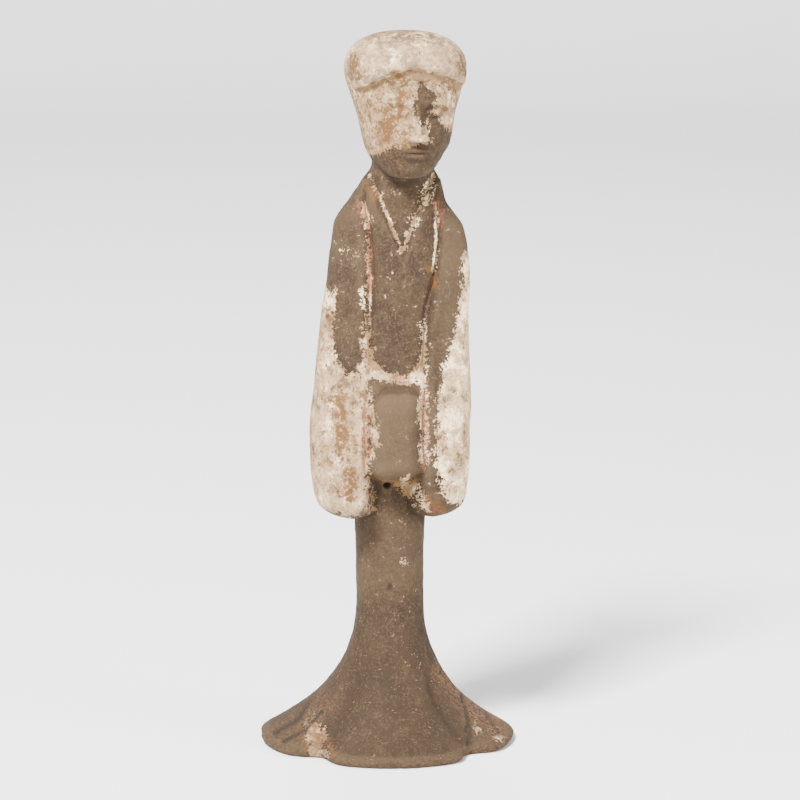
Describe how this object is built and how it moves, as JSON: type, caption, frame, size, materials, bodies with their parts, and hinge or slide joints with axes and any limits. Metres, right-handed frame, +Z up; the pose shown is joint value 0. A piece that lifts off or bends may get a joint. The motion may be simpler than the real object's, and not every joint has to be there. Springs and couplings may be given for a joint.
{
  "type": "terracotta tomb figure",
  "caption": "Standing court lady in long robe with hands joined in her sleeves, moulded grey terracotta with worn white slip, skirt flared and open beneath.",
  "frame": {"origin": "on the ground plane under the centre of the bounding box, midway across the hem", "axes": "+Z up along the standing figure, -Y the way she faces, +X to her left"},
  "size_m": [0.1653, 0.1455, 0.46],
  "materials": {
    "terracotta": "matt grey brown fired clay with worn white slip, ochre soil and traces of red and pink pigment"
  },
  "bodies": {
    "root": {"court_lady": "terracotta"}
  },
  "joints": []
}
